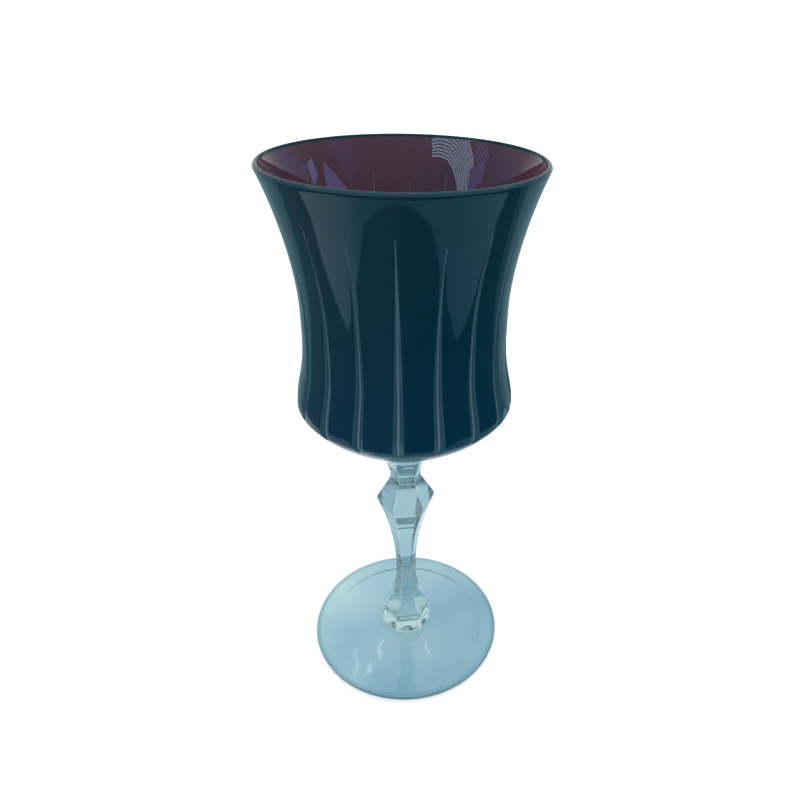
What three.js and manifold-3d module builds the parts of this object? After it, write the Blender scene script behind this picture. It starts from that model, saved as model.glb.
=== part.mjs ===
// A cut-glass wine goblet: a cased bowl with mitre cuts, a clear six-sided stem and knop, and a round foot.
// Sizes are millimetres, +Z is up, and the origin is the middle of the face that the foot rests on.
// Turns are degrees about +Z, counted from the front (-Y) towards the right (+X).
import * as THREE from 'three';
import { mergeVertices } from 'three/addons/utils/BufferGeometryUtils.js';
import Module from 'manifold-3d';

const wasm = await Module();
wasm.setup();

// Hairline left between two pieces that are fused on the real glass
const fusionGap = 0.1;

// Foot
const footRadius = 39.7;
const footEdge = 2.6;
const footEdgeRound = 1.2;
const footCrown = 4.2;
const footKick = 1;
const restWidth = 5;
const restStep = 1.2;
const restStepHeight = 0.55;
const seatMargin = 1;

// Two-tier collar on the foot: a round blank, and the six flats ground on it
const collarFootRadius = 9.4;
const lowerTierRadius = 11;
const lowerTierFlat = 10.5;
const lowerTierBelow = 1.8;
const lowerTierAbove = 4;
const tierGrooveFlat = 7.7;
const upperTierRadius = 9.6;
const upperTierFlat = 8.8;
const upperTierBelow = 3.9;
const upperTierAbove = 6.2;
const collarNeckFlat = 4.6;
const collarNeckHeight = 5.4;
const grindingDepth = 2;

// Stem, six-sided: radii are to the corners
const facetCount = 6;
const facetTurn = 36.5;
const stemFootRadius = 5.1;
const stemFootFlare = 4;
const shaftRadius = 4.15;
const shaftStraight = 6.5;
const taperHeight = 36.65;
const taperBend = 17.5;
const knopRadius = 11.7;
const knopShoulder = 9.3;
const neckRadius = 6;
const neckHeight = 2.5;
const stemTopRadius = 6.6;
const stemTopFlare = 1.6;

// Flared wafer under the bowl
const mereseFootRadius = 6.4;
const mereseBendOut = 1.7;
const mereseBendUp = 5.5;
const mereseRadius = 12;
const mereseHeight = 8;

// Bowl, outer face
const undersideDepth = 24.2;
const undersidePower = 1.3;
const hipRadius = 38.1;
const hipToWaist = 34.45;
const hipPower = 1.87;
const waistRadius = 34.6;
const waistToLip = 46;
const flarePower = 1.8;
const rimRadius = 44.5;

// Bowl, its two layers of glass
const casingRim = 0.8;
const casingBase = 1.9;
const linerRim = 0.8;
const linerBase = 1.6;
const lipHeight = 0.7;

// Mitre cuts down the bowl, alternately long and short
const cutCount = 18;
const cutTurn = -3.4;
const cutAngle = 110;
const cutDepth = 1.25;
const cutPower = 0.95;
const cutBelowLip = 11.7;
const shortCutDrop = 3.5;
const cutRunOut = 7;
const cutClear = 1;

// Fineness of the round faces
const segmentsPerCut = 3;
const undersideSteps = 7;
const hipSteps = 6;
const flareSteps = 6;
const lipSteps = 3;
const footEdgeSteps = 5;
const footTopSteps = 4;
const taperSteps = 5;
const mereseSteps = 5;
const cutSteps = 9;

// Heights of the joints and of the bowl's main sections, stacked from the foot up
const collarBase = footCrown + fusionGap;
const lowerTierHeight = collarBase + lowerTierBelow;
const grooveHeight = lowerTierHeight + lowerTierAbove;
const upperTierHeight = grooveHeight + upperTierBelow;
const collarNeckBase = upperTierHeight + upperTierAbove;
const collarTop = collarNeckBase + collarNeckHeight;
const stemBase = collarTop + fusionGap;
const shaftBase = stemBase + stemFootFlare;
const taperBase = shaftBase + shaftStraight;
const knopCentre = taperBase + taperHeight;
const neckBase = knopCentre + knopShoulder;
const neckTop = neckBase + neckHeight;
const stemTop = neckTop + stemTopFlare;
const mereseBase = stemTop + fusionGap;
const bowlBase = mereseBase + mereseHeight + fusionGap;
const hipCentre = bowlBase + undersideDepth;
const waistCentre = hipCentre + hipToWaist;
const lipBase = waistCentre + waistToLip;

// Each cut runs down the middle of a flat of the round faces
const roundSegments = cutCount * segmentsPerCut;
const roundTurn = cutTurn + 180 / roundSegments;
const radians = THREE.MathUtils.degToRad;
const mix = THREE.MathUtils.lerp;
const point = (radius, height) => new THREE.Vector2(radius, height);

// A profile turned about +Z; the profile starts on the axis at the bottom and ends on the axis at the top
function turned(profile, segments, startTurn) {
  const geometry = new THREE.LatheGeometry(profile, segments, radians(startTurn));
  geometry.rotateX(Math.PI / 2);
  return geometry;
}

function solidOf(geometry) {
  const bare = new THREE.BufferGeometry();
  bare.setAttribute('position', geometry.getAttribute('position'));
  bare.setIndex(geometry.index);
  const welded = mergeVertices(bare);
  const vertProperties = new Float32Array(welded.getAttribute('position').array);
  const triVerts = new Uint32Array(welded.index.array);
  return new wasm.Manifold(new wasm.Mesh({ numProp: 3, vertProperties, triVerts }));
}

function geometryOf(solid) {
  const mesh = solid.getMesh();
  const geometry = new THREE.BufferGeometry();
  geometry.setAttribute('position', new THREE.BufferAttribute(new Float32Array(mesh.vertProperties), 3));
  geometry.setIndex(new THREE.BufferAttribute(new Uint32Array(mesh.triVerts), 1));
  geometry.computeVertexNormals();
  return geometry;
}

// Radius of the bowl's outer face at a height: round underside, swelling hip, narrow waist, flared mouth
function bowlRadius(height) {
  if (height >= waistCentre) {
    const rise = (height - waistCentre) / waistToLip;
    return mix(waistRadius, rimRadius, rise ** flarePower);
  }
  if (height >= hipCentre) {
    const drop = (waistCentre - height) / hipToWaist;
    return mix(waistRadius, hipRadius, (1 - Math.cos(Math.PI * drop ** hipPower)) / 2);
  }
  const drop = Math.min((hipCentre - height) / undersideDepth, 1);
  return hipRadius * (1 - drop ** undersidePower) ** (1 / undersidePower);
}

// Height of the bowl's underside at a radius
function undersideHeight(radius) {
  const reach = Math.min(radius / hipRadius, 1);
  return hipCentre - undersideDepth * (1 - reach ** undersidePower) ** (1 / undersidePower);
}

// The bowl's outer face from the middle of the underside to the lip
function bowlOutline() {
  const outline = [];
  for (let step = 0; step < undersideSteps; step += 1) {
    const radius = hipRadius * Math.sin((Math.PI / 2) * (step / undersideSteps)) ** (2 / undersidePower);
    outline.push(point(radius, undersideHeight(radius)));
  }
  const heights = [];
  for (let step = 0; step < hipSteps; step += 1) {
    heights.push(mix(hipCentre, waistCentre, step / hipSteps));
  }
  for (let step = 0; step <= flareSteps; step += 1) {
    heights.push(mix(waistCentre, lipBase, step / flareSteps));
  }
  return outline.concat(heights.map((height) => point(bowlRadius(height), height)));
}

// The bowl's outer face moved into the glass, by one depth at the lip and another from the hip down
function bowlInset(lipInset, baseInset) {
  const outline = bowlOutline();
  return outline.map((place, index) => {
    const before = outline[Math.max(index - 1, 0)];
    const after = outline[Math.min(index + 1, outline.length - 1)];
    const along = after.clone().sub(before).normalize();
    const rise = THREE.MathUtils.clamp((place.y - hipCentre) / (lipBase - hipCentre), 0, 1);
    const inset = mix(baseInset, lipInset, rise);
    if (index === 0) return point(0, place.y + inset);
    return point(place.x - along.y * inset, place.y + along.x * inset);
  });
}

// A quarter-round edge at the lip, from the side of the wall to the crest above the other face
function lipRound(side, crestFoot) {
  const edge = [];
  for (let step = 1; step <= lipSteps; step += 1) {
    const turn = (Math.PI / 2) * (step / lipSteps);
    const radius = mix(crestFoot.x, side.x, Math.cos(turn));
    const foot = mix(crestFoot.y, side.y, Math.cos(turn));
    edge.push(point(radius, foot + lipHeight * Math.sin(turn)));
  }
  return edge;
}

// Depth of a mitre cut: nothing at its tip, full at the hip; above the tip the cutter is clear of the glass
function depthOfCut(height, tipHeight) {
  const drop = (tipHeight - height) / (tipHeight - hipCentre);
  return cutDepth * Math.sign(drop) * Math.abs(drop) ** cutPower;
}

// Heights along a cutter, from the run-out below the hip up; the tip lies halfway between the last two
function cutterHeights(tipHeight) {
  const heights = [hipCentre - cutRunOut];
  for (let step = 0; step <= cutSteps; step += 1) {
    heights.push(mix(hipCentre, tipHeight, step / (cutSteps - 1 / 2)));
  }
  return heights;
}

// One mitre cutter: a three-sided bar whose sharp edge follows the wall and goes straight on below the hip
function mitreCutter(tipHeight, turn) {
  const outward = new THREE.Vector3(Math.sin(turn), -Math.cos(turn), 0);
  const sideways = new THREE.Vector3(Math.cos(turn), Math.sin(turn), 0);
  const spread = Math.tan(radians(cutAngle / 2));
  const heights = cutterHeights(tipHeight);
  const positions = [];
  for (const height of heights) {
    const followed = Math.max(height, hipCentre);
    const depth = depthOfCut(followed, tipHeight);
    const wallRadius = bowlRadius(followed) * Math.cos(Math.PI / roundSegments);
    const edgeRadius = wallRadius - depth;
    const reach = depth + cutClear;
    for (const [radius, width] of [[edgeRadius, 0], [edgeRadius + reach, -1], [edgeRadius + reach, 1]]) {
      const corner = outward.clone().multiplyScalar(radius).addScaledVector(sideways, width * reach * spread);
      positions.push(corner.x, corner.y, height);
    }
  }
  return barGeometry(positions, heights.length);
}

// A closed three-sided bar through rings of three corners, listed from the bottom up
function barGeometry(positions, ringCount) {
  const sides = 3;
  const faces = [0, 2, 1];
  for (let ring = 0; ring < ringCount - 1; ring += 1) {
    for (let side = 0; side < sides; side += 1) {
      const low = ring * sides + side;
      const lowNext = ring * sides + ((side + 1) % sides);
      faces.push(low, lowNext, lowNext + sides, low, lowNext + sides, low + sides);
    }
  }
  const last = (ringCount - 1) * sides;
  faces.push(last, last + 1, last + 2);
  const geometry = new THREE.BufferGeometry();
  geometry.setAttribute('position', new THREE.Float32BufferAttribute(positions, 3));
  geometry.setIndex(faces);
  return geometry;
}

// Outer layer of the bowl, with the cuts taken out of it
function bowlCasing() {
  const outside = bowlOutline();
  const inside = bowlInset(casingRim, casingBase);
  const lip = lipRound(outside.at(-1), inside.at(-1));
  let casing = solidOf(turned([...outside, ...lip, ...inside.reverse()], roundSegments, roundTurn));
  for (let index = 0; index < cutCount; index += 1) {
    const tipHeight = lipBase - cutBelowLip - (index % 2) * shortCutDrop;
    const turn = radians(cutTurn + (360 / cutCount) * index);
    casing = casing.subtract(solidOf(mitreCutter(tipHeight, turn)));
  }
  return geometryOf(casing);
}

// Inner layer of the bowl, nested in the casing
function bowlLiner() {
  const outside = bowlInset(casingRim + fusionGap, casingBase + fusionGap);
  const inside = bowlInset(casingRim + fusionGap + linerRim, casingBase + fusionGap + linerBase);
  const crestFoot = outside.at(-1);
  const lip = lipRound(inside.at(-1), crestFoot).reverse();
  return turned([...outside, ...lip, ...inside.reverse()], roundSegments, roundTurn);
}

// Wafer that flares from the stem to the bowl's underside
function bowlMerese() {
  const foot = point(mereseFootRadius, mereseBase);
  const bend = point(mereseFootRadius + mereseBendOut, mereseBase + mereseBendUp);
  const brim = point(mereseRadius, undersideHeight(mereseRadius) - fusionGap);
  const flare = new THREE.QuadraticBezierCurve(foot, bend, brim).getPoints(mereseSteps);
  const underBowl = bowlOutline().filter((place) => place.x < mereseRadius).reverse();
  const seat = underBowl.map((place) => point(place.x, place.y - fusionGap));
  return turned([point(0, mereseBase), ...flare, ...seat], roundSegments, roundTurn);
}

// Six-sided stem: a short flare on the collar, a slender shaft, a long taper, the knop and the neck
function stem() {
  const shaftTop = point(shaftRadius, taperBase);
  const bend = point(shaftRadius, taperBase + taperBend);
  const knop = point(knopRadius, knopCentre);
  const taper = new THREE.QuadraticBezierCurve(shaftTop, bend, knop).getPoints(taperSteps);
  const profile = [
    point(0, stemBase),
    point(stemFootRadius, stemBase),
    point(shaftRadius, shaftBase),
    ...taper,
    point(neckRadius, neckBase),
    point(neckRadius, neckTop),
    point(stemTopRadius, stemTop),
    point(0, stemTop),
  ];
  return turned(profile, facetCount, facetTurn);
}

// Round collar of two tiers, with six flats ground on it in line with the stem's
function footMerese() {
  const blank = [
    point(0, collarBase),
    point(collarFootRadius, collarBase),
    point(lowerTierRadius, lowerTierHeight),
    point(tierGrooveFlat + grindingDepth, grooveHeight),
    point(upperTierRadius, upperTierHeight),
    point(collarNeckFlat + grindingDepth, collarNeckBase),
    point(collarNeckFlat + grindingDepth, collarTop),
    point(0, collarTop),
  ];
  const toCorner = 1 / Math.cos(Math.PI / facetCount);
  const flats = [
    point(0, collarBase - grindingDepth),
    point(lowerTierFlat * toCorner, collarBase - grindingDepth),
    point(lowerTierFlat * toCorner, lowerTierHeight),
    point(tierGrooveFlat * toCorner, grooveHeight),
    point(upperTierFlat * toCorner, upperTierHeight),
    point(collarNeckFlat * toCorner, collarNeckBase),
    point(collarNeckFlat * toCorner, collarTop + grindingDepth),
    point(0, collarTop + grindingDepth),
  ];
  const round = solidOf(turned(blank, roundSegments, roundTurn));
  return geometryOf(round.intersect(solidOf(turned(flats, facetCount, facetTurn))));
}

// Round foot: stepped hollow underside, flat resting ring, rounded edge, and a top that rises to the collar
function foot() {
  const edgeCentre = footRadius - footEdgeRound;
  const seatRadius = collarFootRadius + seatMargin;
  const restRadius = edgeCentre - restWidth;
  const profile = [point(0, footKick), point(restRadius - restStep, restStepHeight), point(restRadius, 0)];
  for (let step = 0; step <= footEdgeSteps; step += 1) {
    const turn = Math.PI * (step / footEdgeSteps - 1 / 2);
    const height = (footEdge / 2) * (1 + Math.sin(turn));
    profile.push(point(edgeCentre + footEdgeRound * Math.cos(turn), height));
  }
  for (let step = 1; step <= footTopSteps; step += 1) {
    const inward = step / footTopSteps;
    profile.push(point(mix(edgeCentre, seatRadius, inward), mix(footEdge, footCrown, inward ** 2)));
  }
  profile.push(point(0, footCrown));
  return turned(profile, roundSegments, roundTurn);
}

const darkGlass = { color: 0x0c2733, roughness: 0.08, metalness: 0 };
const burgundyGlass = { color: 0x4a2733, roughness: 0.1, metalness: 0 };
const clearGlass = { color: 0xa9cdd8, roughness: 0.05, metalness: 0 };

function piece(name, geometry, look) {
  const mesh = new THREE.Mesh(geometry, new THREE.MeshStandardMaterial(look));
  mesh.name = name;
  return mesh;
}

const goblet = new THREE.Group();
goblet.add(piece('bowl_casing', bowlCasing(), darkGlass));
goblet.add(piece('bowl_liner', bowlLiner(), burgundyGlass));
goblet.add(piece('bowl_merese', bowlMerese(), clearGlass));
goblet.add(piece('stem', stem(), clearGlass));
goblet.add(piece('foot_merese', footMerese(), clearGlass));
goblet.add(piece('foot', foot(), clearGlass));

export default goblet;
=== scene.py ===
# A cut-glass wine goblet: a dark cased bowl with mitre cuts on a clear six-sided stem and a round foot.
# Lengths are metres, +Z is up, and turns about +Z count from the front (-Y) towards the right (+X).
import math

import bpy
from mathutils import Matrix, Vector


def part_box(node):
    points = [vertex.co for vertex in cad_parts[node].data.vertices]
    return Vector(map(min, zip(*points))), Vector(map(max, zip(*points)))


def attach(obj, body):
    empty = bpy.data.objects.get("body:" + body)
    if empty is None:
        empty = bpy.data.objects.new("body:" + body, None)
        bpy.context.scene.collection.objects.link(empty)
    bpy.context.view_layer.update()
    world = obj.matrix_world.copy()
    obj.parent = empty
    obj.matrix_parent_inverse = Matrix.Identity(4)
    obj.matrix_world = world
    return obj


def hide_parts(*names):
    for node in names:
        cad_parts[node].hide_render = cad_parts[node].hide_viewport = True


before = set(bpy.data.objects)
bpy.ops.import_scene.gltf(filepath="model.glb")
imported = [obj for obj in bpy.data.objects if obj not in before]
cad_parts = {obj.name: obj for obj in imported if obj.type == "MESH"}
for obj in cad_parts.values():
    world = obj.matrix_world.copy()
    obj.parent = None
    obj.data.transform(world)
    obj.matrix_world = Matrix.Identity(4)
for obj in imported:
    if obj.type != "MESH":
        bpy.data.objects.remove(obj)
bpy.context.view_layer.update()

MM = 0.001

# Places that the frame gives
_, foot_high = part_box("foot")
_, collar_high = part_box("foot_merese")
stem_low, stem_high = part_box("stem")
wafer_low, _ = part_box("bowl_merese")
casing_low, casing_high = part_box("bowl_casing")
FOOT_RADIUS = min(foot_high.x, foot_high.y)
RIM_RADIUS = min(casing_high.x, casing_high.y)
FOOT_CROWN = foot_high.z
COLLAR_TOP = (collar_high.z + stem_low.z) / 2
STEM_TOP = (stem_high.z + wafer_low.z) / 2
BOWL_BASE = casing_low.z

# Foot
FOOT_EDGE = 2.6 * MM
FOOT_EDGE_ROUND = 1.2 * MM
FOOT_KICK = 1.0 * MM
REST_WIDTH = 5.0 * MM
REST_STEP = 2.2 * MM
REST_STEP_HEIGHT = 0.6 * MM
SEAT_MARGIN = 1.0 * MM

# Two-tier collar: a round blank, and the six flats ground on it
COLLAR_FOOT_RADIUS = 9.4 * MM
LOWER_TIER_RADIUS = 11.0 * MM
LOWER_TIER_FLAT = 10.5 * MM
LOWER_TIER_BELOW = 1.8 * MM
LOWER_TIER_ABOVE = 4.0 * MM
TIER_GROOVE_FLAT = 7.7 * MM
UPPER_TIER_RADIUS = 9.6 * MM
UPPER_TIER_FLAT = 8.8 * MM
UPPER_TIER_BELOW = 3.9 * MM
UPPER_TIER_ABOVE = 6.2 * MM
COLLAR_NECK_FLAT = 4.5 * MM
GRINDING_DEPTH = 2.0 * MM

# Stem: radii are to the corners
FACET_COUNT = 6
FACET_TURN = math.radians(36.5)
FACET_SHARPNESS = 40
STEM_FOOT_FLARE = 4.0 * MM
SHAFT_RADIUS = 4.15 * MM
SHAFT_STRAIGHT = 6.5 * MM
TAPER_HEIGHT = 36.65 * MM
TAPER_BEND = 17.5 * MM
KNOP_RADIUS = 11.7 * MM
KNOP_SHOULDER = 9.3 * MM
NECK_RADIUS = 6.0 * MM
NECK_HEIGHT = 2.5 * MM
STEM_TOP_RADIUS = 6.5 * MM

# Flared wafer under the bowl
WAFER_BEND_OUT = 1.7 * MM
WAFER_BEND_UP = 5.5 * MM
WAFER_RADIUS = 12.0 * MM
WAFER_SINK = 0.15 * MM

# Easing of the polished corners of the clear glass; the longer one takes up both sides of a corner
CREASE = 0.5 * MM
WHOLE_SIDE = 1.0

# Bowl, outer face
UNDERSIDE_DEPTH = 24.2 * MM
UNDERSIDE_POWER = 1.3
HIP_RADIUS = 38.1 * MM
HIP_TO_WAIST = 34.45 * MM
HIP_POWER = 1.87
WAIST_RADIUS = 34.6 * MM
WAIST_TO_LIP = 46.0 * MM
FLARE_POWER = 1.8
LIP_FLICK = 0.13 * MM
LIP_FLICK_HEIGHT = 8.0 * MM
HIP = BOWL_BASE + UNDERSIDE_DEPTH
WAIST = HIP + HIP_TO_WAIST
LIP = WAIST + WAIST_TO_LIP

# Bowl, its two layers
FUSION_GAP = 0.1 * MM
CASING_RIM = 0.8 * MM
CASING_BASE = 1.9 * MM
LINER_RIM = 0.8 * MM
LINER_BASE = 1.6 * MM
LIP_HEIGHT = 0.62 * MM

# Mitre cuts down the bowl, alternately long and short
CUT_COUNT = 18
CUT_TURN = math.radians(-3.4)
CUT_ANGLE = math.radians(110)
CUT_DEPTH = 1.25 * MM
CUT_POWER = 0.95
CUT_BELOW_LIP = 11.7 * MM
SHORT_CUT_DROP = 3.5 * MM
CUT_LEAST_HALF_WIDTH = 0.2 * MM

# How pale a cut is on its flanks and at its brinks, part thinner overlay and part painted reflection, and
# what its painted highlight line keeps where the cut is shallow
FLANK_PALENESS = 0.3
BRINK_PALENESS = FLANK_PALENESS / 2
SHALLOW_HIGHLIGHT = 0.3

# Columns across one half of a cut, its bottom and brinks a little eased: share of its half width,
# share of its depth, and paleness, which at the bottom is the painted highlight line
CUT_COLUMNS = (
    (0.0, 0.97, 1.0),
    (0.14, 0.85, 0.8),
    (0.3, 0.7, FLANK_PALENESS),
    (0.65, 0.35, FLANK_PALENESS),
    (0.92, 0.08, FLANK_PALENESS),
    (1.0, 0.03, BRINK_PALENESS),
    (1.12, 0.0, 0.0),
)

# Fineness of the meshes
PLAIN_COLUMNS = 6
FACET_COLUMNS = 24
ARRIS_COLUMNS = 4
UNDERSIDE_RINGS = 26
HIP_RINGS = 44
FLARE_RINGS = 60
HIDDEN_RING_STEP = 2
LIP_RINGS = 8
CREASE_STEPS = 8
FOOT_RINGS = 24

# Colours of the bowl: the two ends of a soft variation, or the flanks and the painted highlight line of a
# cut;
# the casing's flanks are partly a painted reflection, and the liner's cut lines are painted light coming
# through
CASING_HIGH = ((0.004, 0.0165, 0.029), (0.0003, 0.0175, 0.0225))
CASING_LOW = ((0.0008, 0.021, 0.046), (0.0004, 0.022, 0.039))
CASING_CUT_AND_HIGHLIGHT = ((0.018, 0.058, 0.086), (0.13, 0.2, 0.26))
LINER = ((0.092, 0.031, 0.048), (0.069, 0.033, 0.064))
LINER_CUT_LIGHT = ((0.11, 0.06, 0.09), (0.45, 0.36, 0.44))
LIP_EDGE = (0.014, 0.046, 0.064)

# The painted highlight line of a cut is full up to one facing weight, and at its least from another
HIGHLIGHT_FULL_ASIDE = 0.23
HIGHLIGHT_LEAST_ASIDE = 0.42
CASING_LEAST_HIGHLIGHT = 0.12
LINER_LEAST_HIGHLIGHT = 1.0

# Polish of the bowl
BOWL_IOR = 1.52
CASING_ROUGHNESS = (0.02, 0.06)
CASING_GLOSS = 0.38
CASING_GLOSS_TINT = (0.43, 0.79, 1.0)
LINER_ROUGHNESS = (0.0, 0.03)
LINER_GLOSS = 0.42
LINER_GLOSS_TINT = (0.55, 0.82, 1.0)
LIP_GLOSS = 0.06

# Clear glass: the two ends of its tint, its haze, and the painted highlights along its facet edges
CLEAR_IOR = 1.5
CLEAR_ROUGHNESS = (0.0, 0.04)
WAFER_TINT = ((0.3, 0.48, 0.56), (0.35, 0.53, 0.59))
STEM_TINT = ((0.39, 0.57, 0.63), (0.45, 0.63, 0.66))
STEM_HAZE = 0.11
COLLAR_TINT = ((0.48, 0.7, 0.72), (0.56, 0.77, 0.76))
FOOT_TINT = ((0.48, 0.71, 0.8), (0.7, 0.87, 0.86))
FOOT_EDGE_TINT = (0.36, 0.57, 0.62)
FOOT_HAZE = 0.08
ARRIS_HIGHLIGHT_TINT = (0.86, 0.96, 0.97)
ARRIS_HIGHLIGHT_HAZE = 0.55
ARRIS_LEAST_HIGHLIGHT = 0.15

# Soft variations through the glass, as (patches a metre, detail)
CASING_CLOUDS = (22, 2.0)
LINER_CLOUDS = (26, 2.0)
CLEAR_CLOUDS = (30, 2.0)
BOWL_POLISH = (90, 3.0)
CLEAR_POLISH = (120, 2.0)
BOWL_SWAY = (35, 1.0)
CLEAR_SWAY = (55, 2.0)
ARRIS_HIGHLIGHT_BREAKS = (420, 2.0)

# The stretch of a variation that counts, since it seldom comes near 0 or 1
BOWL_CLOUD_STRETCH = (0.35, 0.65)
CLEAR_CLOUD_STRETCH = (0.3, 0.7)
ARRIS_HIGHLIGHT_BREAK_STRETCH = (0.42, 0.58)

# Unevenness of the polished faces: the height of slow sways and of level bands
CASING_SWAY_HEIGHT = 0.06 * MM
LINER_SWAY_HEIGHT = 0.02 * MM
STEM_SWAY_HEIGHT = 0.1 * MM
FOOT_SWAY_HEIGHT = 0.16 * MM
STEM_BAND_HEIGHT = 0.05 * MM
COLLAR_BAND_HEIGHT = 0.04 * MM
FOOT_BAND_HEIGHT = 0.0
BAND_SPACING = 3.2 * MM
BAND_DISTORTION = 1.5
BAND_DETAIL = 1.0

# A wave texture of scale 1 makes this many radians a metre
WAVE_STEPS = 20

# Camera: where it stands, how it is turned in radians, and its lens, for an 800 by 800 picture
CAMERA_PLACE = Vector((0.0, -210.68, 239.8)) * MM
CAMERA_PITCH = 0.5309
CAMERA_YAW = -0.0545
CAMERA_ROLL = 0.0221
CAMERA_LENS = 30.31
CAMERA_SHIFT = -0.046
CAMERA_NEAR = 1.0 * MM

# Pale floor and the daylight on it
FLOOR_SIZE = 60.0
FLOOR_DROP = 0.2 * MM
FLOOR_COLOUR = (0.95, 0.95, 0.95)
DAYLIGHT = 1.75
DAYLIGHT_SPREAD = math.radians(90)

# Brightness of the surroundings, added up, as (axis of the direction, start, end, brightness at both)
SKY_PARTS = (
    ("Z", 0.3, 0.9, 0.35, 0.9),
    ("Y", -0.1, 0.8, 0.0, 0.4),
    ("Z", 0.0, 0.2, 0.5, 0.0),
)

# Table top that only the glass shows, its shade and light painted for the glass to reflect: two dark
# shades, left and right, and two lighter steps behind
TABLE_SIZE = 3.0
TABLE_DROP = 0.1 * MM
TABLE_DARK = ((0.12, 0.15, 0.19), (0.015, 0.065, 0.085))
TABLE_DARK_TURN = 0.05
TABLE_DIM = (0.06, 0.17, 0.19)
TABLE_DIM_BACK = 0.1
TABLE_LIGHT = (0.17, 0.3, 0.34)
TABLE_LIGHT_BACK = 0.158

# Pale sheet on the table: its edges, and the leaning turn from its lit colour to its painted shade
SHEET_LEFT = -0.262
SHEET_RIGHT = 0.265
SHEET_FRONT = -0.17
SHEET_SKEW = 0.068
SHEET_BACK = 0.15
SHEET_EDGE = 0.003
SHEET_LIT_AND_SHADED = ((0.74, 0.83, 0.86), (0.31, 0.5, 0.63))
SHEET_TURN_START = -0.05
SHEET_TURN_END = 0.03
SHEET_LEAN = 0.9

# Soft panels round the table that only the glass shows. Turn, rise and lean are degrees: round from the
# front, up from the bowl's waist, and how steeply the length climbs as the turn grows. A bend is a radius,
# and the longest one looks straight.
PANEL_DISTANCE = 1.5
PANEL_SLAT_SHARE = 0.55
PANEL_STEPS = 12
STRAIGHT = 1000.0
WHITE_LIGHT = (0.85, 0.9, 1.0)
LILAC_LIGHT = (0.5, 0.52, 1.0)
BLUE_LIGHT = (0.6, 0.72, 1.0)
PANELS = (
    dict(name="slats_left", turn=-55, rise=31.8, lean=38, length=1.3, height=0.42, slats=11, bend=1.2,
         colour=WHITE_LIGHT, strength=6.0),
    dict(name="slats_far_left", turn=-80, rise=27, lean=44, length=0.34, height=0.24, slats=5,
         colour=LILAC_LIGHT, strength=2.4),
    dict(name="panel_left", turn=-77, rise=20, lean=-4, length=0.4, height=0.18,
         colour=LILAC_LIGHT, strength=1.8),
    dict(name="panel_side_left", turn=-117, rise=13, length=0.8, height=0.34,
         colour=BLUE_LIGHT, strength=0.7),
    dict(name="slats_right", turn=60, rise=29, lean=38, length=0.55, height=0.34, slats=6,
         colour=LILAC_LIGHT, strength=1.3),
    dict(name="panel_right", turn=73, rise=17, lean=14, length=0.55, height=0.2,
         colour=LILAC_LIGHT, strength=2.6),
    dict(name="panel_far_right", turn=97, rise=18, lean=-30, length=0.2, height=0.16,
         colour=LILAC_LIGHT, strength=3.2),
    dict(name="panel_side_right", turn=119, rise=13, length=0.8, height=0.34,
         colour=BLUE_LIGHT, strength=0.9),
    dict(name="lamp_left", turn=-105, rise=52, length=0.2, height=0.12,
         colour=WHITE_LIGHT, strength=16.0),
    dict(name="lamp_right", turn=112, rise=46, length=0.2, height=0.12,
         colour=WHITE_LIGHT, strength=18.0),
    dict(name="tube_left", turn=-168, rise=54.5, lean=-19, length=0.1, height=0.016, bend=0.08,
         colour=WHITE_LIGHT, strength=4.0),
    dict(name="tube_right", turn=168, rise=56.5, lean=-30, length=0.1, height=0.016, bend=0.08,
         colour=WHITE_LIGHT, strength=4.0),
    dict(name="tube_far_left", turn=-168, rise=50.5, lean=-19, length=0.1, height=0.014, bend=0.08,
         colour=WHITE_LIGHT, strength=3.0),
    dict(name="spot_left", turn=-171, rise=52.5, length=0.035, height=0.025,
         colour=WHITE_LIGHT, strength=4.0),
)

scene = bpy.context.scene
scene.view_settings.view_transform = "Standard"


# Shapes

def mix(low, high, share):
    """The number that lies a share of the way from low to high."""
    return low + (high - low) * share


def bowl_radius(height):
    """Radius of the bowl's outer face: round underside, swelling hip, narrow waist, flared mouth."""
    if height >= WAIST:
        rise = (height - WAIST) / WAIST_TO_LIP
        flick = max(1 - (LIP - height) / LIP_FLICK_HEIGHT, 0)
        return mix(WAIST_RADIUS, RIM_RADIUS - LIP_FLICK, rise ** FLARE_POWER) + LIP_FLICK * flick ** 2
    if height >= HIP:
        drop = (WAIST - height) / HIP_TO_WAIST
        return mix(WAIST_RADIUS, HIP_RADIUS, (1 - math.cos(math.pi * drop ** HIP_POWER)) / 2)
    drop = min((HIP - height) / UNDERSIDE_DEPTH, 1)
    return HIP_RADIUS * (1 - drop ** UNDERSIDE_POWER) ** (1 / UNDERSIDE_POWER)


def underside_height(radius):
    """Height of the bowl's underside at a radius."""
    reach = min(radius / HIP_RADIUS, 1)
    return HIP - UNDERSIDE_DEPTH * (1 - reach ** UNDERSIDE_POWER) ** (1 / UNDERSIDE_POWER)


def bowl_outline():
    """The bowl's outer face as (radius, height), from the middle of the underside to the lip."""
    outline = []
    for ring in range(UNDERSIDE_RINGS):
        radius = HIP_RADIUS * math.sin(math.pi / 2 * ring / UNDERSIDE_RINGS) ** (2 / UNDERSIDE_POWER)
        outline.append(Vector((radius, underside_height(radius))))
    for ring in range(HIP_RINGS):
        height = mix(HIP, WAIST, ring / HIP_RINGS)
        outline.append(Vector((bowl_radius(height), height)))
    for ring in range(FLARE_RINGS + 1):
        height = mix(WAIST, LIP, ring / FLARE_RINGS)
        outline.append(Vector((bowl_radius(height), height)))
    return outline


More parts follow.
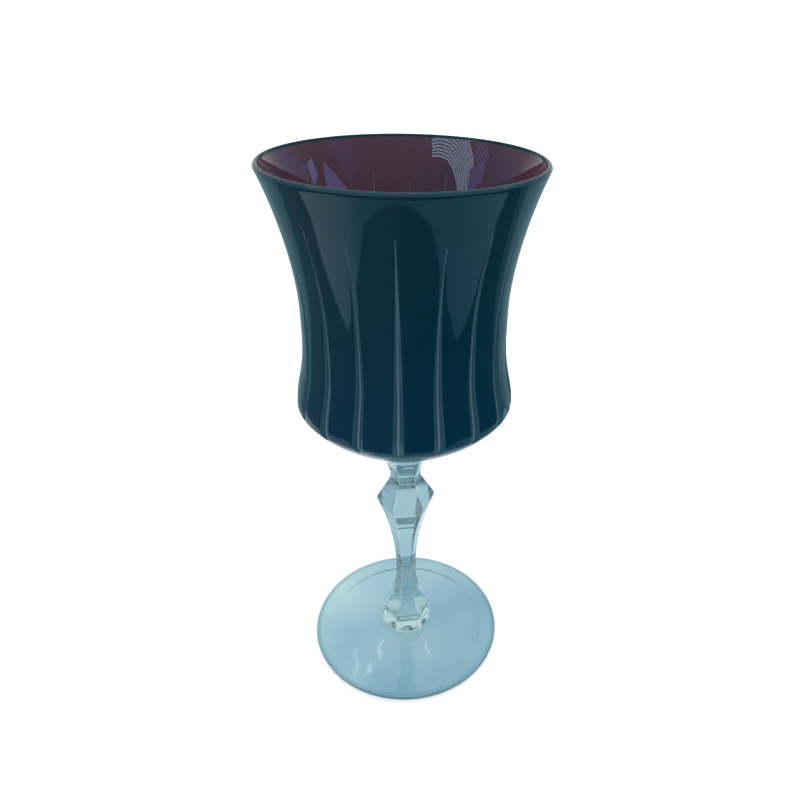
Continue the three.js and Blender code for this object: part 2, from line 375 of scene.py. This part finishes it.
def bowl_inset(lip_inset, base_inset):
    """The bowl's outer face moved into the glass: one depth at the lip, another from the hip down."""
    outline = bowl_outline()
    inset_line = []
    for index, place in enumerate(outline):
        before = outline[max(index - 1, 0)]
        after = outline[min(index + 1, len(outline) - 1)]
        along = (after - before).normalized()
        rise = min(max((place.y - HIP) / (LIP - HIP), 0), 1)
        inset = mix(base_inset, lip_inset, rise)
        if index == 0:
            inset_line.append(Vector((0, place.y + inset)))
        else:
            inset_line.append(Vector((place.x - along.y * inset, place.y + along.x * inset)))
    return inset_line


def lip_round(side, crest_foot):
    """A quarter-round edge at the lip, from the side of the wall to the crest above the other face."""
    edge = []
    for ring in range(1, LIP_RINGS + 1):
        turn = math.pi / 2 * ring / LIP_RINGS
        foot = crest_foot.lerp(side, math.cos(turn))
        edge.append(foot + Vector((0, LIP_HEIGHT * math.sin(turn))))
    return edge


def rounded_profile(corners):
    """Points through corners, each eased by a curve over its rounding, which is its last number."""
    points = []
    for index, (*place, rounding) in enumerate(corners):
        here = Vector(place)
        if rounding == 0:
            points.append(here)
            continue
        ends = []
        for *neighbour, neighbour_rounding in (corners[index - 1], corners[index + 1]):
            side = Vector(neighbour) - here
            room = side.length - min(neighbour_rounding, side.length / 2)
            ends.append(here + side.normalized() * min(rounding, room))
        for step in range(CREASE_STEPS + 1):
            share = step / CREASE_STEPS
            points.append(ends[0].lerp(here, share).lerp(here.lerp(ends[1], share), share))
    return points


def round_place(radius, turn, height):
    """The place at a radius, a turn from the front and a height."""
    return Vector((radius * math.sin(turn), -radius * math.cos(turn), height))


def axis_ring(height):
    """A ring drawn in to one point on the axis."""
    return [Vector((0, 0, height))]


def facet_turns():
    """Turns of the columns round a six-sided piece, closer together towards the corners."""
    turns = []
    for facet in range(FACET_COUNT):
        middle = FACET_TURN + math.pi / FACET_COUNT * (2 * facet + 1)
        for column in range(FACET_COLUMNS):
            across = math.sin(math.pi * (column / FACET_COLUMNS - 1 / 2))
            turns.append(middle + math.pi / FACET_COUNT * across)
    return turns


def facet_share(turn):
    """Radius of a six-sided section with eased corners, as a share of that to its sharp corners."""
    total = 0
    for facet in range(FACET_COUNT):
        middle = FACET_TURN + math.pi / FACET_COUNT * (2 * facet + 1)
        total += max(math.cos(turn - middle), 0) ** FACET_SHARPNESS
    return math.cos(math.pi / FACET_COUNT) / total ** (1 / FACET_SHARPNESS)


def facet_ring(radius, height, roundness=0.0):
    """One ring of a six-sided piece; roundness 1 gives a plain circle."""
    ring = []
    for turn in facet_turns():
        share = mix(facet_share(turn), 1, roundness)
        ring.append(round_place(radius * share, turn, height))
    return ring


def ground_ring(radius, flat, height):
    """One ring of a round piece with flats ground on it at a distance from the axis."""
    corner = flat / math.cos(math.pi / FACET_COUNT)
    ring = []
    for turn in facet_turns():
        total = radius ** -FACET_SHARPNESS + (corner * facet_share(turn)) ** -FACET_SHARPNESS
        ring.append(round_place(total ** (-1 / FACET_SHARPNESS), turn, height))
    return ring


def new_piece(name, points, faces):
    """A piece of the scene with a mesh of its own."""
    mesh = bpy.data.meshes.new(name)
    mesh.from_pydata(points, [], faces)
    piece = bpy.data.objects.new(name, mesh)
    scene.collection.objects.link(piece)
    return piece


def skin(name, rings):
    """A smooth piece with a skin over rings of points, listed so that its faces point out."""
    points = []
    starts = []
    for ring in rings:
        starts.append(len(points))
        points.extend(ring)
    faces = []
    for low, high, low_start, high_start in zip(rings, rings[1:], starts, starts[1:]):
        count = max(len(low), len(high))
        for column in range(count):
            after = (column + 1) % count
            corners = [low_start + column % len(low), low_start + after % len(low),
                       high_start + after % len(high), high_start + column % len(high)]
            faces.append(list(dict.fromkeys(corners)))
    piece = new_piece(name, points, faces)
    piece.data.shade_smooth()
    return piece


def mark(piece, name, values):
    """Keep a number with each point of a piece, for its material."""
    marks = piece.data.attributes.new(name, "FLOAT", "POINT")
    marks.data.foreach_set("value", values)


def mark_arrises(piece, ring_count):
    """Mark the upright edges between the facets of a piece made of facet rings."""
    ring = []
    for column in range(FACET_COUNT * FACET_COLUMNS):
        away = min(column % FACET_COLUMNS, -column % FACET_COLUMNS)
        ring.append(max(1 - away / ARRIS_COLUMNS, 0))
    mark(piece, "arris", ring * ring_count)


# Mitre cuts

def cut_depth(height, tip):
    """Depth of a mitre cut: none at its tip, full at the hip, then straight down out of the underside."""
    if height >= tip:
        return 0
    if height >= HIP:
        return CUT_DEPTH * ((tip - height) / (tip - HIP)) ** CUT_POWER
    return max(bowl_radius(height) - (HIP_RADIUS - CUT_DEPTH), 0)


def cut_columns(place, tip):
    """Columns over one cut and the plain glass round it, as (turn from the cut, inset, paleness)."""
    sector = math.pi / CUT_COUNT
    depth = cut_depth(place.y, tip)
    half_width = max(depth * math.tan(CUT_ANGLE / 2), CUT_LEAST_HALF_WIDTH)
    # The painted highlight along the bottom of a cut is fuller where the cut is deeper
    highlight = mix(SHALLOW_HIGHLIGHT, 1, depth / CUT_DEPTH)
    half = []
    for across, share, paleness in CUT_COLUMNS:
        pale = paleness if paleness < FLANK_PALENESS else mix(FLANK_PALENESS, paleness, highlight)
        turn = min(across * half_width / place.x, sector / 2)
        half.append((turn, depth * share, pale if depth > 0 else 0))
    last_turn = half[-1][0]
    for column in range(1, PLAIN_COLUMNS):
        half.append((mix(last_turn, sector, column / PLAIN_COLUMNS), 0, 0))
    left = [(-turn, inset, paleness) for turn, inset, paleness in reversed(half[1:])]
    return [(-sector, 0, 0)] + left + half


def cut_columns_round(place):
    """Columns all the way round the bowl at one place of its outer face."""
    columns = []
    for cut in range(CUT_COUNT):
        tip = LIP - CUT_BELOW_LIP - cut % 2 * SHORT_CUT_DROP
        turn = CUT_TURN + 2 * math.pi / CUT_COUNT * cut
        for offset, inset, paleness in cut_columns(place, tip):
            columns.append((turn + offset, inset, paleness))
    return columns


# Pieces

def bowl_casing():
    """Outer layer of the bowl, with its cuts."""
    outside = bowl_outline()
    inside = bowl_inset(CASING_RIM, CASING_BASE)
    plain_columns = cut_columns_round(outside[-1])
    rings = [axis_ring(outside[0].y)]
    paleness = [0]
    for place in outside[1:]:
        columns = cut_columns_round(place)
        rings.append([round_place(place.x - inset, turn, place.y) for turn, inset, _ in columns])
        paleness.extend(pale for _, _, pale in columns)
    for place in lip_round(outside[-1], inside[-1]) + inside[:0:-HIDDEN_RING_STEP]:
        rings.append([round_place(place.x, turn, place.y) for turn, _, _ in plain_columns])
        paleness.extend([0] * len(plain_columns))
    rings.append(axis_ring(inside[0].y))
    paleness.append(0)
    piece = skin("bowl_casing_glass", rings)
    mark(piece, "paleness", paleness)
    return piece


def bowl_liner():
    """Inner layer of the bowl, nested in the casing; where the casing is cut, it is marked for painted
    light coming through.
    """
    outline = bowl_outline()
    outside = bowl_inset(CASING_RIM + FUSION_GAP, CASING_BASE + FUSION_GAP)
    inside = bowl_inset(CASING_RIM + FUSION_GAP + LINER_RIM, CASING_BASE + FUSION_GAP + LINER_BASE)
    lip = lip_round(inside[-1], outside[-1])[::-1]
    plain_columns = cut_columns_round(outline[-1])
    rings = [axis_ring(outside[0].y)]
    paleness = [0]
    for place in outside[HIDDEN_RING_STEP::HIDDEN_RING_STEP] + lip:
        rings.append([round_place(place.x, turn, place.y) for turn, _, _ in plain_columns])
        paleness.extend([0] * len(plain_columns))
    for cut_place, place in zip(outline[:0:-1], inside[:0:-1]):
        columns = cut_columns_round(cut_place)
        rings.append([round_place(place.x, turn, place.y) for turn, _, _ in columns])
        paleness.extend(pale for _, _, pale in columns)
    rings.append(axis_ring(inside[0].y))
    paleness.append(0)
    piece = skin("bowl_liner_glass", rings)
    mark(piece, "paleness", paleness)
    return piece


def bowl_wafer():
    """Wafer that flares from the six-sided stem to the round underside of the bowl."""
    brim_height = underside_height(WAFER_RADIUS) + WAFER_SINK
    profile = rounded_profile([
        (STEM_TOP_RADIUS, STEM_TOP, 0),
        (STEM_TOP_RADIUS + WAFER_BEND_OUT, STEM_TOP + WAFER_BEND_UP, WHOLE_SIDE),
        (WAFER_RADIUS, brim_height, 0),
    ])
    rings = []
    for place in profile:
        rise = (place.y - STEM_TOP) / (brim_height - STEM_TOP)
        rings.append(facet_ring(place.x, place.y, roundness=rise))
    piece = skin("bowl_wafer_glass", rings)
    mark_arrises(piece, len(rings))
    return piece


def stem():
    """Six-sided stem: a short flare, a slender shaft, a long taper, the knop and the neck."""
    shaft_base = COLLAR_TOP + STEM_FOOT_FLARE
    taper_base = shaft_base + SHAFT_STRAIGHT
    knop = taper_base + TAPER_HEIGHT
    neck = knop + KNOP_SHOULDER
    foot_ring = ground_ring(COLLAR_NECK_FLAT + GRINDING_DEPTH, COLLAR_NECK_FLAT, COLLAR_TOP)
    profile = rounded_profile([
        (COLLAR_NECK_FLAT / math.cos(math.pi / FACET_COUNT), COLLAR_TOP, 0),
        (SHAFT_RADIUS, shaft_base, 2 * CREASE),
        (SHAFT_RADIUS, taper_base, 0),
        (SHAFT_RADIUS, taper_base + TAPER_BEND, WHOLE_SIDE),
        (KNOP_RADIUS, knop, CREASE),
        (NECK_RADIUS, neck, 2 * CREASE),
        (NECK_RADIUS, neck + NECK_HEIGHT, CREASE),
        (STEM_TOP_RADIUS, STEM_TOP, 0),
    ])
    rings = [foot_ring] + [facet_ring(place.x, place.y) for place in profile[1:]]
    piece = skin("stem_glass", rings)
    mark_arrises(piece, len(rings))
    return piece


def foot_collar():
    """Round collar of two tiers between the foot and the stem, with six flats ground on it."""
    lower_tier = FOOT_CROWN + LOWER_TIER_BELOW
    groove = lower_tier + LOWER_TIER_ABOVE
    upper_tier = groove + UPPER_TIER_BELOW
    neck = upper_tier + UPPER_TIER_ABOVE
    profile = rounded_profile([
        (COLLAR_FOOT_RADIUS, LOWER_TIER_FLAT, FOOT_CROWN, 0),
        (LOWER_TIER_RADIUS, LOWER_TIER_FLAT, lower_tier, 2 * CREASE),
        (TIER_GROOVE_FLAT + GRINDING_DEPTH, TIER_GROOVE_FLAT, groove, CREASE),
        (UPPER_TIER_RADIUS, UPPER_TIER_FLAT, upper_tier, 2 * CREASE),
        (COLLAR_NECK_FLAT + GRINDING_DEPTH, COLLAR_NECK_FLAT, neck, 2 * CREASE),
        (COLLAR_NECK_FLAT + GRINDING_DEPTH, COLLAR_NECK_FLAT, COLLAR_TOP, 0),
    ])
    rings = [ground_ring(*place) for place in profile]
    piece = skin("foot_collar_glass", rings)
    mark_arrises(piece, len(rings))
    return piece


def foot():
    """Round foot: hollowed underside, resting ring, rounded edge, and a top that rises to the collar."""
    edge_centre = FOOT_RADIUS - FOOT_EDGE_ROUND
    seat_radius = COLLAR_FOOT_RADIUS + SEAT_MARGIN
    rest_radius = edge_centre - REST_WIDTH
    hollow_radius = rest_radius - REST_STEP
    rings = [axis_ring(FOOT_KICK)]
    for ring in range(1, FOOT_RINGS + 1):
        share = ring / FOOT_RINGS
        height = mix(FOOT_KICK, REST_STEP_HEIGHT, share)
        rings.append(facet_ring(hollow_radius * share, height, roundness=1))
    for step in range(1, CREASE_STEPS + 1):
        share = step / CREASE_STEPS
        height = REST_STEP_HEIGHT * (1 + math.cos(math.pi * share)) / 2
        rings.append(facet_ring(mix(hollow_radius, rest_radius, share), height, roundness=1))
    for step in range(2 * CREASE_STEPS + 1):
        turn = math.pi * (step / (2 * CREASE_STEPS) - 1 / 2)
        height = FOOT_EDGE / 2 * (1 + math.sin(turn))
        rings.append(facet_ring(edge_centre + FOOT_EDGE_ROUND * math.cos(turn), height, roundness=1))
    for ring in range(1, FOOT_RINGS + 1):
        share = ring / FOOT_RINGS
        height = mix(FOOT_EDGE, FOOT_CROWN, share ** 2)
        rings.append(facet_ring(mix(edge_centre, seat_radius, share), height, roundness=1))
    rings.append(ground_ring(COLLAR_FOOT_RADIUS, LOWER_TIER_FLAT, FOOT_CROWN))
    return skin("foot_glass", rings)


# Steps that the materials share

def node_tools(tree):
    """A function that adds a node to a tree and sets its values, and one that links two sockets."""

    def add(kind, **values):
        node = tree.nodes.new(kind)
        for key, value in values.items():
            if hasattr(node, key):
                setattr(node, key, value)
            else:
                node.inputs[key.replace("_", " ")].default_value = value
        return node

    return add, tree.links.new


def new_material(name):
    """An empty procedural material, its shader and its node tools."""
    material = bpy.data.materials.new(name)
    material.use_nodes = True
    tree = material.node_tree
    return material, tree.nodes["Principled BSDF"], *node_tools(tree)


def blotches(add, link, scale, detail):
    """Soft cloudy variation through the glass, 0 to 1."""
    place = add("ShaderNodeTexCoord")
    noise = add("ShaderNodeTexNoise", Scale=scale, Detail=detail)
    link(place.outputs["Object"], noise.inputs["Vector"])
    return noise.outputs["Fac"]


def waves(add, link, spacing):
    """Level bands up the glass, such as working leaves on it, 0 to 1."""
    place = add("ShaderNodeTexCoord")
    bands = add("ShaderNodeTexWave", bands_direction="Z", Distortion=BAND_DISTORTION, Detail=BAND_DETAIL)
    bands.inputs["Scale"].default_value = 2 * math.pi / (WAVE_STEPS * spacing)
    link(place.outputs["Object"], bands.inputs["Vector"])
    return bands.outputs["Fac"]


def axes(add, link, kind="Object"):
    """The three coordinates of a place, by their letters."""
    place = add("ShaderNodeTexCoord")
    split = add("ShaderNodeSeparateXYZ")
    link(place.outputs[kind], split.inputs["Vector"])
    return split.outputs


def spread(add, link, share, low, high, start=0.0, end=1.0):
    """A number between low and high, as a share runs from start to end."""
    node = add("ShaderNodeMapRange", From_Min=start, From_Max=end, To_Min=low, To_Max=high)
    link(share, node.inputs["Value"])
    return node.outputs["Result"]


def share_between(add, link, value, start, end):
    """How far a value is from start to end, 0 to 1."""
    return spread(add, link, value, 0.0, 1.0, start, end)


def height_share(add, link, low, high):
    """Share of the way up from one height of the goblet to another."""
    return share_between(add, link, axes(add, link)["Z"], low, high)


def combined(add, link, operation, first, second):
    """Two numbers added or multiplied."""
    node = add("ShaderNodeMath", operation=operation)
    link(first, node.inputs[0])
    link(second, node.inputs[1])
    return node.outputs["Value"]


def ramp(add, link, share, low_colour, high_colour, low=0.0, high=1.0):
    """A colour between two, as a share runs from low to high."""
    node = add("ShaderNodeValToRGB")
    ends = node.color_ramp.elements
    ends[0].position = low
    ends[0].color = (*low_colour, 1)
    ends[1].position = high
    ends[1].color = (*high_colour, 1)
    link(share, node.inputs["Fac"])
    return node.outputs["Color"]


def blend(add, link, share, low_paint, high_paint):
    """A mix of two paints that both vary."""
    node = add("ShaderNodeMix", data_type="RGBA")
    link(share, node.inputs["Factor"])
    link(low_paint, node.inputs["A"])
    link(high_paint, node.inputs["B"])
    return node.outputs["Result"]


def tinted(add, link, share, paint, colour):
    """A paint that varies, turned to one colour by a share."""
    node = add("ShaderNodeMix", data_type="RGBA")
    link(share, node.inputs["Factor"])
    link(paint, node.inputs["A"])
    node.inputs["B"].default_value = (*colour, 1)
    return node.outputs["Result"]


def uneven(add, link, shader, *layers):
    """Unevenness of a polished face, as layers of (variation, height)."""
    before = None
    for variation, height in layers:
        bump = add("ShaderNodeBump", Distance=height)
        link(variation, bump.inputs["Height"])
        if before:
            link(before.outputs["Normal"], bump.inputs["Normal"])
        before = bump
    link(before.outputs["Normal"], shader.inputs["Normal"])


def matt(shader):
    """Take all gloss from a shader."""
    shader.inputs["Roughness"].default_value = 1.0
    shader.inputs["Specular IOR Level"].default_value = 0.0


# Materials of the bowl

def cut_paint(add, link, body, flank_colour, highlight_colour, least_highlight):
    """The body paint, with the paler faces of the cuts and a painted highlight line in each that is palest
    seen squarely.
    """
    paleness = add("ShaderNodeAttribute", attribute_name="paleness").outputs["Fac"]
    highlight = share_between(add, link, paleness, FLANK_PALENESS, 1.0)
    # The painted highlight fades as the face turns aside from the eye
    aside = add("ShaderNodeLayerWeight").outputs["Facing"]
    lit = spread(add, link, aside, 1.0, least_highlight, HIGHLIGHT_FULL_ASIDE, HIGHLIGHT_LEAST_ASIDE)
    line = combined(add, link, "MULTIPLY", highlight, lit)
    paint = ramp(add, link, line, flank_colour, highlight_colour)
    return blend(add, link, share_between(add, link, paleness, 0.0, BRINK_PALENESS), body, paint)


def lip_share(add, link):
    """0 on the walls of the bowl, and 1 along the edge of the lip."""
    return height_share(add, link, LIP, LIP + LIP_HEIGHT / 2)


def bowl_polish(add, link, shader, roughness, sway_height, gloss, gloss_tint):
    """The polished, slightly uneven face of one layer of the bowl, duller along the edge of the lip."""
    link(spread(add, link, blotches(add, link, *BOWL_POLISH), *roughness), shader.inputs["Roughness"])
    uneven(add, link, shader, (blotches(add, link, *BOWL_SWAY), sway_height))
    shader.inputs["IOR"].default_value = BOWL_IOR
    level = spread(add, link, lip_share(add, link), gloss, LIP_GLOSS)
    link(level, shader.inputs["Specular IOR Level"])
    shader.inputs["Specular Tint"].default_value = (*gloss_tint, 1)


def casing_glass():
    """Near-black teal overlay, bluer towards the hip; its cuts paler, part thinner glass and part painted
    reflection, with a painted highlight line.
    """
    material, shader, add, link = new_material("casing_glass_look")
    clouds = blotches(add, link, *CASING_CLOUDS)
    upper = ramp(add, link, clouds, *CASING_HIGH, *BOWL_CLOUD_STRETCH)
    lower = ramp(add, link, clouds, *CASING_LOW, *BOWL_CLOUD_STRETCH)
    body = blend(add, link, height_share(add, link, HIP, LIP), lower, upper)
    paint = cut_paint(add, link, body, *CASING_CUT_AND_HIGHLIGHT, CASING_LEAST_HIGHLIGHT)
    link(tinted(add, link, lip_share(add, link), paint, LIP_EDGE), shader.inputs["Base Color"])
    bowl_polish(add, link, shader, CASING_ROUGHNESS, CASING_SWAY_HEIGHT, CASING_GLOSS, CASING_GLOSS_TINT)
    return material


def liner_glass():
    """Burgundy inner layer, with pale lines of painted light where light comes through the cuts."""
    material, shader, add, link = new_material("liner_glass_look")
    body = ramp(add, link, blotches(add, link, *LINER_CLOUDS), *LINER, *BOWL_CLOUD_STRETCH)
    paint = cut_paint(add, link, body, *LINER_CUT_LIGHT, LINER_LEAST_HIGHLIGHT)
    link(tinted(add, link, lip_share(add, link), paint, LIP_EDGE), shader.inputs["Base Color"])
    bowl_polish(add, link, shader, LINER_ROUGHNESS, LINER_SWAY_HEIGHT, LINER_GLOSS, LINER_GLOSS_TINT)
    return material


# Materials of the clear glass

def arris_highlights(add, link):
    """The edges between the facets, with a painted highlight broken here and there, 0 to 1."""
    arris = add("ShaderNodeAttribute", attribute_name="arris").outputs["Fac"]
    patches = blotches(add, link, *ARRIS_HIGHLIGHT_BREAKS)
    highlight_breaks = spread(add, link, patches, ARRIS_LEAST_HIGHLIGHT, 1.0, *ARRIS_HIGHLIGHT_BREAK_STRETCH)
    return combined(add, link, "MULTIPLY", arris, highlight_breaks)


def rim_share(add, link):
    """Share of the way out across the rounded edge of the foot."""
    place = add("ShaderNodeTexCoord")
    level = add("ShaderNodeVectorMath", operation="MULTIPLY")
    level.inputs[1].default_value = (1, 1, 0)
    link(place.outputs["Object"], level.inputs[0])
    radius = add("ShaderNodeVectorMath", operation="LENGTH")
    link(level.outputs["Vector"], radius.inputs[0])
    inner = FOOT_RADIUS - 2 * FOOT_EDGE_ROUND
    return share_between(add, link, radius.outputs["Value"], inner, FOOT_RADIUS)


def clear_glass(name, tint, haze, sway_height, band_height):
    """Tinted clear glass with a little haze, uneven from hot working, and deeper at the foot's edge."""
    material, shader, add, link = new_material(name)
    body = ramp(add, link, blotches(add, link, *CLEAR_CLOUDS), *tint, *CLEAR_CLOUD_STRETCH)
    paint = tinted(add, link, rim_share(add, link), body, FOOT_EDGE_TINT)
    # Painted highlight along the facet edges: a pale tint, and less light let through
    arris = arris_highlights(add, link)
    link(tinted(add, link, arris, paint, ARRIS_HIGHLIGHT_TINT), shader.inputs["Base Color"])
    polish = blotches(add, link, *CLEAR_POLISH)
    link(spread(add, link, polish, *CLEAR_ROUGHNESS), shader.inputs["Roughness"])
    sway = blotches(add, link, *CLEAR_SWAY)
    bands = waves(add, link, BAND_SPACING)
    uneven(add, link, shader, (sway, sway_height), (bands, band_height))
    shader.inputs["IOR"].default_value = CLEAR_IOR
    link(spread(add, link, arris, 1 - haze, 1 - ARRIS_HIGHLIGHT_HAZE), shader.inputs["Transmission Weight"])
    return material


# Stage

def floor_look():
    """Plain pale matt floor."""
    material, shader, *_ = new_material("floor_look")
    shader.inputs["Base Color"].default_value = (*FLOOR_COLOUR, 1)
    matt(shader)
    return material


def slanted(add, link, value, lean, base):
    """A base number plus a value times its lean."""
    node = add("ShaderNodeMath", operation="MULTIPLY_ADD")
    link(value, node.inputs[0])
    node.inputs[1].default_value = lean
    link(base, node.inputs[2])
    return node.outputs["Value"]


def sheet_share(add, link, across, depth):
    """1 on the pale sheet and 0 round it."""
    left = share_between(add, link, across, SHEET_LEFT - SHEET_EDGE, SHEET_LEFT)
    right = share_between(add, link, across, SHEET_RIGHT + SHEET_EDGE, SHEET_RIGHT)
    skewed = slanted(add, link, across, SHEET_SKEW, depth)
    front = share_between(add, link, skewed, SHEET_FRONT - SHEET_EDGE, SHEET_FRONT)
    back = share_between(add, link, depth, SHEET_BACK + SHEET_EDGE, SHEET_BACK)
    width = combined(add, link, "MULTIPLY", left, right)
    length = combined(add, link, "MULTIPLY", front, back)
    return combined(add, link, "MULTIPLY", width, length)


def table_look():
    """Table painted with shade and light for the glass: dark, with a pale sheet round the glass that turns
    to painted shade towards the right and front, and lighter in two steps towards the back.
    """
    material, shader, add, link = new_material("table_look")
    places = axes(add, link)
    across = places["X"]
    depth = places["Y"]
    rightward = share_between(add, link, across, -TABLE_DARK_TURN, TABLE_DARK_TURN)
    dark = ramp(add, link, rightward, *TABLE_DARK)
    far = share_between(add, link, depth, TABLE_LIGHT_BACK, TABLE_LIGHT_BACK + SHEET_EDGE)
    light = ramp(add, link, far, TABLE_DIM, TABLE_LIGHT)
    behind = share_between(add, link, depth, TABLE_DIM_BACK, TABLE_DIM_BACK + SHEET_EDGE)
    table = blend(add, link, behind, dark, light)
    leaning = slanted(add, link, depth, -SHEET_LEAN, across)
    turn = share_between(add, link, leaning, SHEET_TURN_START, SHEET_TURN_END)
    sheet = ramp(add, link, turn, *SHEET_LIT_AND_SHADED)
    paint = blend(add, link, sheet_share(add, link, across, depth), table, sheet)
    link(paint, shader.inputs["Base Color"])
    matt(shader)
    return material


def flat_sheet(name, size, height, material):
    """A flat level square round the axis."""
    half = size / 2
    outline = ((-half, -half), (half, -half), (half, half), (-half, half))
    sheet = new_piece(name, [(*corner, height) for corner in outline], [(0, 1, 2, 3)])
    sheet.data.materials.append(material)
    return sheet


def stage():
    """Pale floor for the eye, and the table top that shows only in the glass."""
    floor = flat_sheet("floor", FLOOR_SIZE, -FLOOR_DROP, floor_look())
    floor.visible_glossy = False
    floor.visible_transmission = False
    table = flat_sheet("table", TABLE_SIZE, -TABLE_DROP, table_look())
    table.visible_camera = False
    table.visible_diffuse = False
    table.visible_shadow = False


def sky():
    """Soft surroundings: brighter above, behind and low down, dim on the camera's side."""
    world = bpy.data.worlds.new("studio")
    world.use_nodes = True
    scene.world = world
    add, link = node_tools(world.node_tree)
    places = axes(add, link, "Generated")
    parts = [spread(add, link, places[axis], *brightness, start, end)
             for axis, start, end, *brightness in SKY_PARTS]
    total = parts[0]
    for part in parts[1:]:
        total = combined(add, link, "ADD", total, part)
    background = world.node_tree.nodes["Background"]
    background.inputs["Color"].default_value = (1, 1, 1, 1)
    link(total, background.inputs["Strength"])


def daylight():
    """Broad light from above for the matt surfaces; the glass shows the surroundings instead."""
    lamp = bpy.data.lights.new("daylight", "SUN")
    lamp.energy = DAYLIGHT
    lamp.angle = DAYLIGHT_SPREAD
    light = bpy.data.objects.new("daylight", lamp)
    light.visible_glossy = False
    light.visible_transmission = False
    scene.collection.objects.link(light)


def glow(name, colour, strength):
    """A plain glowing surface, found by rays alone and not sought out as a lamp."""
    material, shader, *_ = new_material(name)
    material.cycles.emission_sampling = "NONE"
    shader.inputs["Base Color"].default_value = (0, 0, 0, 1)
    shader.inputs["Emission Color"].default_value = (*colour, 1)
    shader.inputs["Emission Strength"].default_value = strength
    return material


def slat_strips(length, height, slats, bend):
    """Slats in their own plane, bent about a point below: corners as (along, up), and faces."""
    pitch = height / slats
    slat = pitch if slats == 1 else pitch * PANEL_SLAT_SHARE
    corners = []
    faces = []
    for index in range(slats):
        low = pitch * index - height / 2
        for step in range(PANEL_STEPS + 1):
            angle = length * (step / PANEL_STEPS - 1 / 2) / bend
            for up in (low, low + slat):
                corners.append(((bend + up) * math.sin(angle), (bend + up) * math.cos(angle) - bend))
            if step > 0:
                last = len(corners) - 1
                faces.append((last - 3, last - 1, last, last - 2))
    return corners, faces


def soft_panel(name, turn, rise, length, height, colour, strength, lean=0, slats=1, bend=STRAIGHT):
    """A soft light panel, of slats or whole, that faces the bowl's waist and shows only in the glass."""
    turn, rise, lean = (math.radians(angle) for angle in (turn, rise, lean))
    away = round_place(math.cos(rise), turn, math.sin(rise))
    level = Vector((math.cos(turn), math.sin(turn), 0))
    along = math.cos(lean) * level + math.sin(lean) * away.cross(level)
    upright = away.cross(along)
    middle = Vector((0, 0, WAIST)) + PANEL_DISTANCE * away
    corners, faces = slat_strips(length, height, slats, bend)
    panel = new_piece(name, [middle + across * along + up * upright for across, up in corners], faces)
    panel.data.materials.append(glow(name + "_look", colour, strength))
    panel.visible_camera = False
    panel.visible_diffuse = False
    panel.visible_shadow = False


def camera():
    """The photograph's viewpoint."""
    ahead = Vector((-math.sin(CAMERA_YAW) * math.cos(CAMERA_PITCH),
                    math.cos(CAMERA_YAW) * math.cos(CAMERA_PITCH), -math.sin(CAMERA_PITCH)))
    level = Vector((math.cos(CAMERA_YAW), math.sin(CAMERA_YAW), 0))
    upright = level.cross(ahead)
    right = math.cos(CAMERA_ROLL) * level + math.sin(CAMERA_ROLL) * upright
    up = math.cos(CAMERA_ROLL) * upright - math.sin(CAMERA_ROLL) * level
    lens = bpy.data.cameras.new("camera")
    lens.lens = CAMERA_LENS
    lens.shift_x = CAMERA_SHIFT
    lens.clip_start = CAMERA_NEAR
    lens.clip_end = FLOOR_SIZE
    view = bpy.data.objects.new("camera", lens)
    turn = Matrix((right, up, -ahead)).transposed().to_4x4()
    view.matrix_world = Matrix.Translation(CAMERA_PLACE) @ turn
    scene.collection.objects.link(view)
    scene.camera = view


# The goblet, each piece standing for the solid of the same part

def dress(piece, node, slot, material):
    """Give a piece its material and its place in the frame; clear glass throws no shadow."""
    piece.data.materials.append(material)
    piece.visible_shadow = slot != "clear_glass"
    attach(piece, "root")
    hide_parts(node)


stem_glass = clear_glass("stem_glass_look", STEM_TINT, STEM_HAZE, STEM_SWAY_HEIGHT, STEM_BAND_HEIGHT)
wafer_glass = clear_glass("wafer_glass_look", WAFER_TINT, STEM_HAZE, STEM_SWAY_HEIGHT, STEM_BAND_HEIGHT)
collar_glass = clear_glass("collar_glass_look", COLLAR_TINT, STEM_HAZE,
                           STEM_SWAY_HEIGHT, COLLAR_BAND_HEIGHT)
foot_glass = clear_glass("foot_glass_look", FOOT_TINT, FOOT_HAZE, FOOT_SWAY_HEIGHT, FOOT_BAND_HEIGHT)
dress(bowl_casing(), "bowl_casing", "casing_glass", casing_glass())
dress(bowl_liner(), "bowl_liner", "liner_glass", liner_glass())
dress(bowl_wafer(), "bowl_merese", "clear_glass", wafer_glass)
dress(stem(), "stem", "clear_glass", stem_glass)
dress(foot_collar(), "foot_merese", "clear_glass", collar_glass)
dress(foot(), "foot", "clear_glass", foot_glass)
stage()
sky()
daylight()
for panel_values in PANELS:
    soft_panel(**panel_values)
camera()
